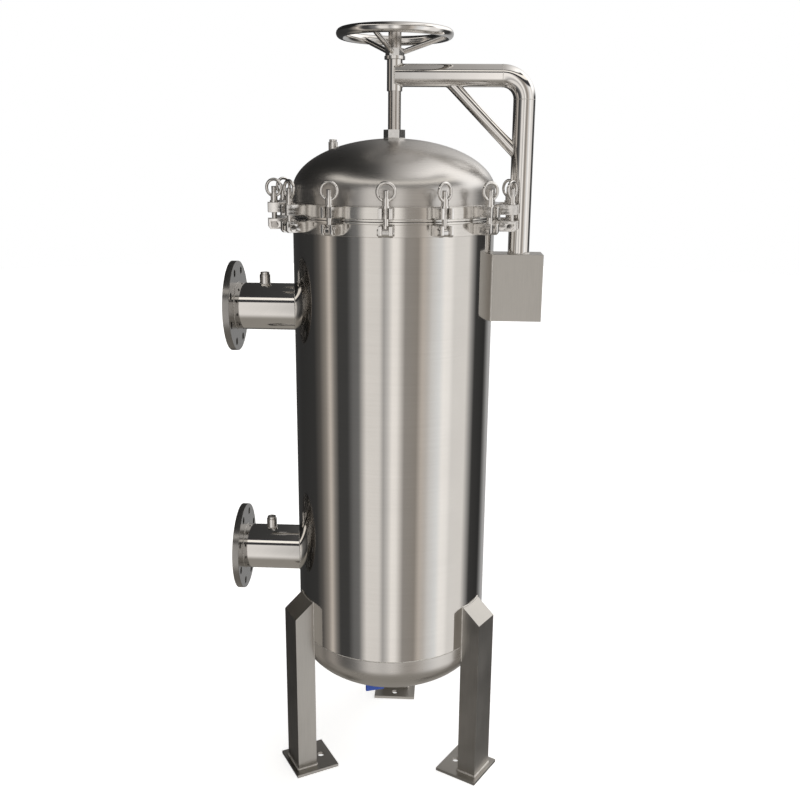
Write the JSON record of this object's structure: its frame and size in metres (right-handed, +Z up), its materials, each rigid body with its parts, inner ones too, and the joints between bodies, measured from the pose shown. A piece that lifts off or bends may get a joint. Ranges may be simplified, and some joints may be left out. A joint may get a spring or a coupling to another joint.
{
  "type": "bag filter housing",
  "caption": "Upright stainless bag filter housing on legs, with flanged nozzles, a domed lid held by swing bolts, and a handwheel davit that lifts the lid.",
  "frame": {"origin": "where the axis of the vessel meets the floor, in the middle of the three anchor holes", "axes": "+Z up the axis of the vessel, -Y the front, -X the side that the nozzles point to, +X the side of the davit"},
  "size_m": [0.757, 0.5987, 1.852],
  "materials": {
    "satin_shell": "satin brushed stainless steel, drawn round the vessel",
    "polished_tube": "polished stainless tube",
    "polished_band": "polished stainless band",
    "cast_stainless": "investment-cast and tumbled stainless",
    "machined_flange": "turned stainless",
    "leg_steel": "brushed stainless sheet and box tube",
    "inner_steel": "mill-finish stainless",
    "screw_steel": "turned stainless bar",
    "valve_steel": "cast stainless valve body",
    "ball_steel": "polished ball and stem",
    "gasket_rubber": "black rubber",
    "bag_felt": "white needle felt",
    "grip_blue": "blue dipped vinyl"
  },
  "bodies": {
    "vessel": {"shell": "satin_shell", "bottom_head": "satin_shell", "body_flange": "polished_band", "lid_gasket": "gasket_rubber", "inlet_pipe": "polished_tube", "outlet_pipe": "polished_tube", "davit_column": "polished_tube", "davit_elbow": "polished_tube", "davit_arm": "polished_tube", "davit_brace": "polished_tube", "davit_sleeve": "polished_tube", "inlet_flange": "machined_flange", "outlet_flange": "machined_flange", "gauge_sockets": "cast_stainless", "gauge_plugs": "cast_stainless", "body_lugs": "cast_stainless", "clamp_pins": "cast_stainless", "davit_bracket": "leg_steel", "leg_left": "leg_steel", "leg_right": "leg_steel", "leg_rear": "leg_steel", "foot_plates": "leg_steel", "support_ledge": "inner_steel", "tube_plate": "inner_steel", "bag_baskets": "inner_steel", "bag_hold_down": "inner_steel", "filter_bags": "bag_felt", "drain_socket": "valve_steel", "drain_valve_body": "valve_steel"},
    "lid": {"lid_dome": "satin_shell", "lid_flange": "polished_band", "lid_lugs": "cast_stainless", "lid_boss": "cast_stainless", "vent_socket": "cast_stainless", "vent_plug": "cast_stainless", "lift_screw": "screw_steel"},
    "handwheel": {"wheel_rim": "polished_tube", "wheel_spokes": "polished_tube", "wheel_hub": "cast_stainless"},
    "drain_handle": {"drain_ball": "ball_steel", "drain_lever": "inner_steel", "drain_grip": "grip_blue"},
    "clamp_01": {"swing_bolt_01": "cast_stainless"},
    "clamp_02": {"swing_bolt_02": "cast_stainless"},
    "clamp_03": {"swing_bolt_03": "cast_stainless"},
    "clamp_04": {"swing_bolt_04": "cast_stainless"},
    "clamp_05": {"swing_bolt_05": "cast_stainless"},
    "clamp_06": {"swing_bolt_06": "cast_stainless"},
    "clamp_07": {"swing_bolt_07": "cast_stainless"},
    "clamp_08": {"swing_bolt_08": "cast_stainless"},
    "clamp_09": {"swing_bolt_09": "cast_stainless"},
    "clamp_10": {"swing_bolt_10": "cast_stainless"},
    "clamp_11": {"swing_bolt_11": "cast_stainless"},
    "clamp_12": {"swing_bolt_12": "cast_stainless"},
    "clamp_13": {"swing_bolt_13": "cast_stainless"},
    "clamp_14": {"swing_bolt_14": "cast_stainless"}
  },
  "joints": [
    {"name": "lid_lift", "type": "slide", "parent": "vessel", "child": "lid", "axis": [0, 0, 1], "range_m": [0, 0.085]},
    {"name": "handwheel_turn", "type": "hinge", "parent": "vessel", "child": "handwheel", "pos_m": [0, 0, 1.78], "axis": [0, 0, 1], "range_deg": [-2550, 0]},
    {"name": "drain_handle_turn", "type": "hinge", "parent": "vessel", "child": "drain_handle", "pos_m": [0, 0, 0.189], "axis": [0.342, -0.9397, 0], "range_deg": [0, 90]},
    {"name": "swing_bolt_01_throw", "type": "hinge", "parent": "vessel", "child": "clamp_01", "pos_m": [0, -0.283, 1.401], "axis": [1, 0, 0], "range_deg": [0, 175]},
    {"name": "swing_bolt_02_throw", "type": "hinge", "parent": "vessel", "child": "clamp_02", "pos_m": [0.12279, -0.25497, 1.401], "axis": [0.901, 0.4339, 0], "range_deg": [0, 175]},
    {"name": "swing_bolt_03_throw", "type": "hinge", "parent": "vessel", "child": "clamp_03", "pos_m": [0.22126, -0.17645, 1.401], "axis": [0.6235, 0.7818, 0], "range_deg": [0, 175]},
    {"name": "swing_bolt_04_throw", "type": "hinge", "parent": "vessel", "child": "clamp_04", "pos_m": [0.27591, -0.06297, 1.401], "axis": [0.2225, 0.9749, 0], "range_deg": [0, 175]},
    {"name": "swing_bolt_05_throw", "type": "hinge", "parent": "vessel", "child": "clamp_05", "pos_m": [0.27591, 0.06297, 1.401], "axis": [-0.2225, 0.9749, 0], "range_deg": [0, 175]},
    {"name": "swing_bolt_06_throw", "type": "hinge", "parent": "vessel", "child": "clamp_06", "pos_m": [0.22126, 0.17645, 1.401], "axis": [-0.6235, 0.7818, 0], "range_deg": [0, 175]},
    {"name": "swing_bolt_07_throw", "type": "hinge", "parent": "vessel", "child": "clamp_07", "pos_m": [0.12279, 0.25497, 1.401], "axis": [-0.901, 0.4339, 0], "range_deg": [0, 175]},
    {"name": "swing_bolt_08_throw", "type": "hinge", "parent": "vessel", "child": "clamp_08", "pos_m": [0, 0.283, 1.401], "axis": [-1, 0, 0], "range_deg": [0, 175]},
    {"name": "swing_bolt_09_throw", "type": "hinge", "parent": "vessel", "child": "clamp_09", "pos_m": [-0.12279, 0.25497, 1.401], "axis": [-0.901, -0.4339, 0], "range_deg": [0, 175]},
    {"name": "swing_bolt_10_throw", "type": "hinge", "parent": "vessel", "child": "clamp_10", "pos_m": [-0.22126, 0.17645, 1.401], "axis": [-0.6235, -0.7818, 0], "range_deg": [0, 175]},
    {"name": "swing_bolt_11_throw", "type": "hinge", "parent": "vessel", "child": "clamp_11", "pos_m": [-0.27591, 0.06297, 1.401], "axis": [-0.2225, -0.9749, 0], "range_deg": [0, 175]},
    {"name": "swing_bolt_12_throw", "type": "hinge", "parent": "vessel", "child": "clamp_12", "pos_m": [-0.27591, -0.06297, 1.401], "axis": [0.2225, -0.9749, 0], "range_deg": [0, 175]},
    {"name": "swing_bolt_13_throw", "type": "hinge", "parent": "vessel", "child": "clamp_13", "pos_m": [-0.22126, -0.17645, 1.401], "axis": [0.6235, -0.7818, 0], "range_deg": [0, 175]},
    {"name": "swing_bolt_14_throw", "type": "hinge", "parent": "vessel", "child": "clamp_14", "pos_m": [-0.12279, -0.25497, 1.401], "axis": [0.901, -0.4339, 0], "range_deg": [0, 175]}
  ],
  "couplings": [
    {"joint": "handwheel_turn", "follows": "lid_lift", "rad_per_m": -523.59},
    {"joint": "swing_bolt_01_throw", "follows": "lid_lift", "rad_per_m": 35.931},
    {"joint": "swing_bolt_02_throw", "follows": "lid_lift", "rad_per_m": 35.931},
    {"joint": "swing_bolt_03_throw", "follows": "lid_lift", "rad_per_m": 35.931},
    {"joint": "swing_bolt_04_throw", "follows": "lid_lift", "rad_per_m": 35.931},
    {"joint": "swing_bolt_05_throw", "follows": "lid_lift", "rad_per_m": 35.931},
    {"joint": "swing_bolt_06_throw", "follows": "lid_lift", "rad_per_m": 35.931},
    {"joint": "swing_bolt_07_throw", "follows": "lid_lift", "rad_per_m": 35.931},
    {"joint": "swing_bolt_08_throw", "follows": "lid_lift", "rad_per_m": 35.931},
    {"joint": "swing_bolt_09_throw", "follows": "lid_lift", "rad_per_m": 35.931},
    {"joint": "swing_bolt_10_throw", "follows": "lid_lift", "rad_per_m": 35.931},
    {"joint": "swing_bolt_11_throw", "follows": "lid_lift", "rad_per_m": 35.931},
    {"joint": "swing_bolt_12_throw", "follows": "lid_lift", "rad_per_m": 35.931},
    {"joint": "swing_bolt_13_throw", "follows": "lid_lift", "rad_per_m": 35.931},
    {"joint": "swing_bolt_14_throw", "follows": "lid_lift", "rad_per_m": 35.931}
  ]
}
